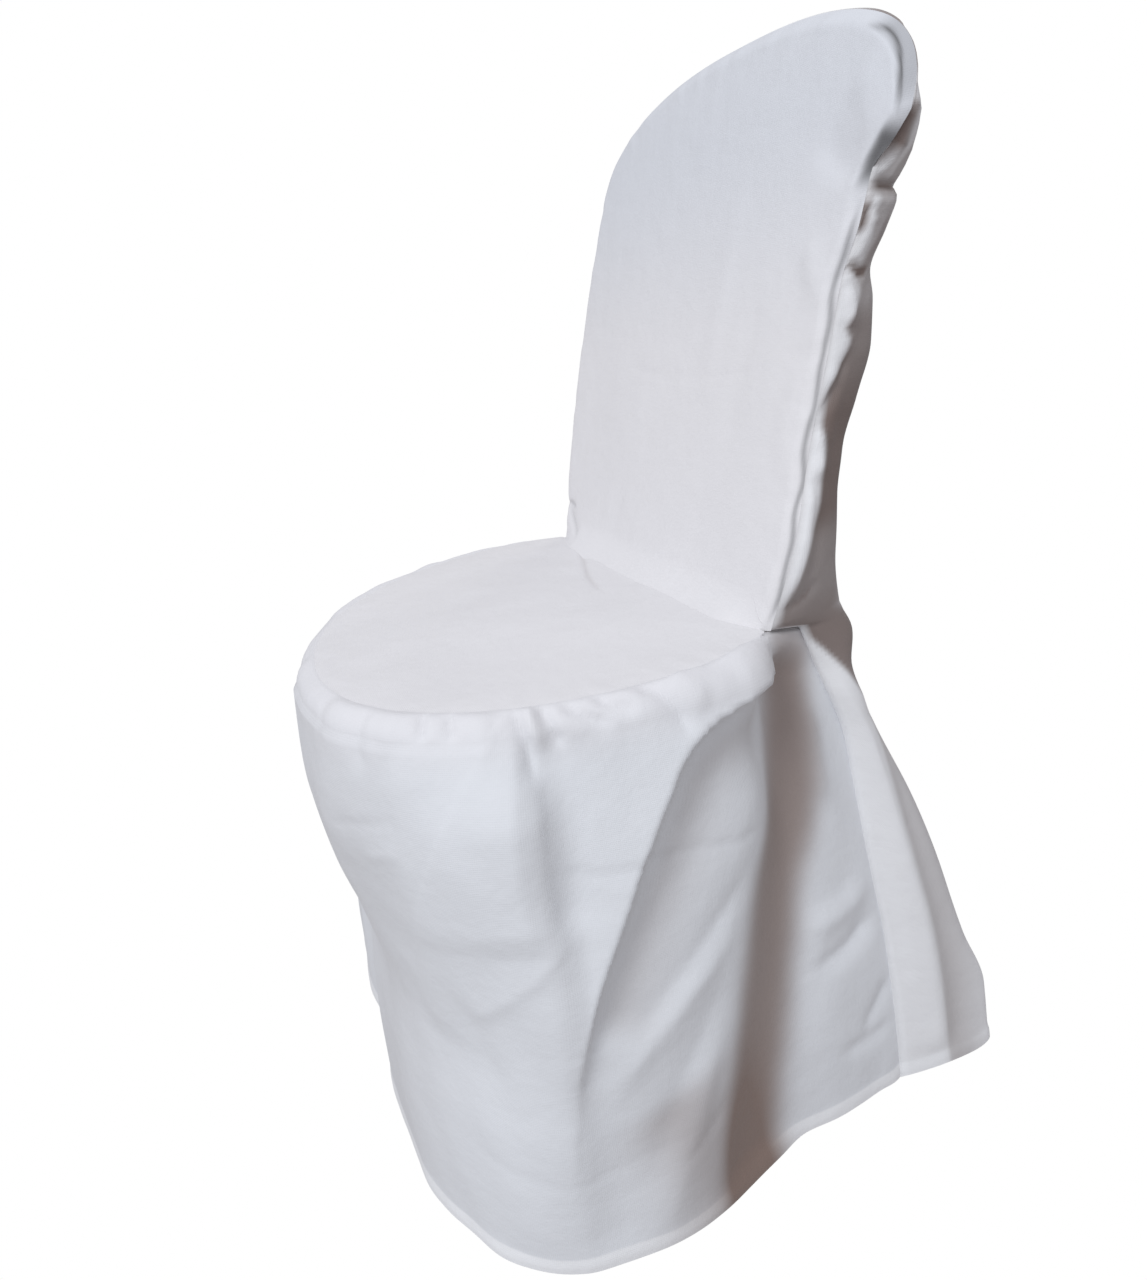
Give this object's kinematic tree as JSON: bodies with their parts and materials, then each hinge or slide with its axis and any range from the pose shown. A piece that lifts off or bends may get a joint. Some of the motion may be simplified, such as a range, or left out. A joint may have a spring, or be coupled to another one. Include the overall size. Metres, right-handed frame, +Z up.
{
  "type": "fitted chair cover",
  "caption": "Loose white cloth cover for a dining or banquet chair, with an arched back pocket and a skirt that falls to the floor",
  "frame": {"origin": "on the floor, at the middle of the cover's box, level with the hem", "axes": "+Z up, -Y the way a sitter faces, +X the sitter's left"},
  "size_m": [0.6111, 0.5448, 0.8931],
  "materials": {
    "white_cloth": "plain woven polyester, matt with a faint sheen"
  },
  "bodies": {
    "root": {"seat_panel": "white_cloth", "back_front": "white_cloth", "rear_panel": "white_cloth", "skirt": "white_cloth"}
  },
  "joints": []
}
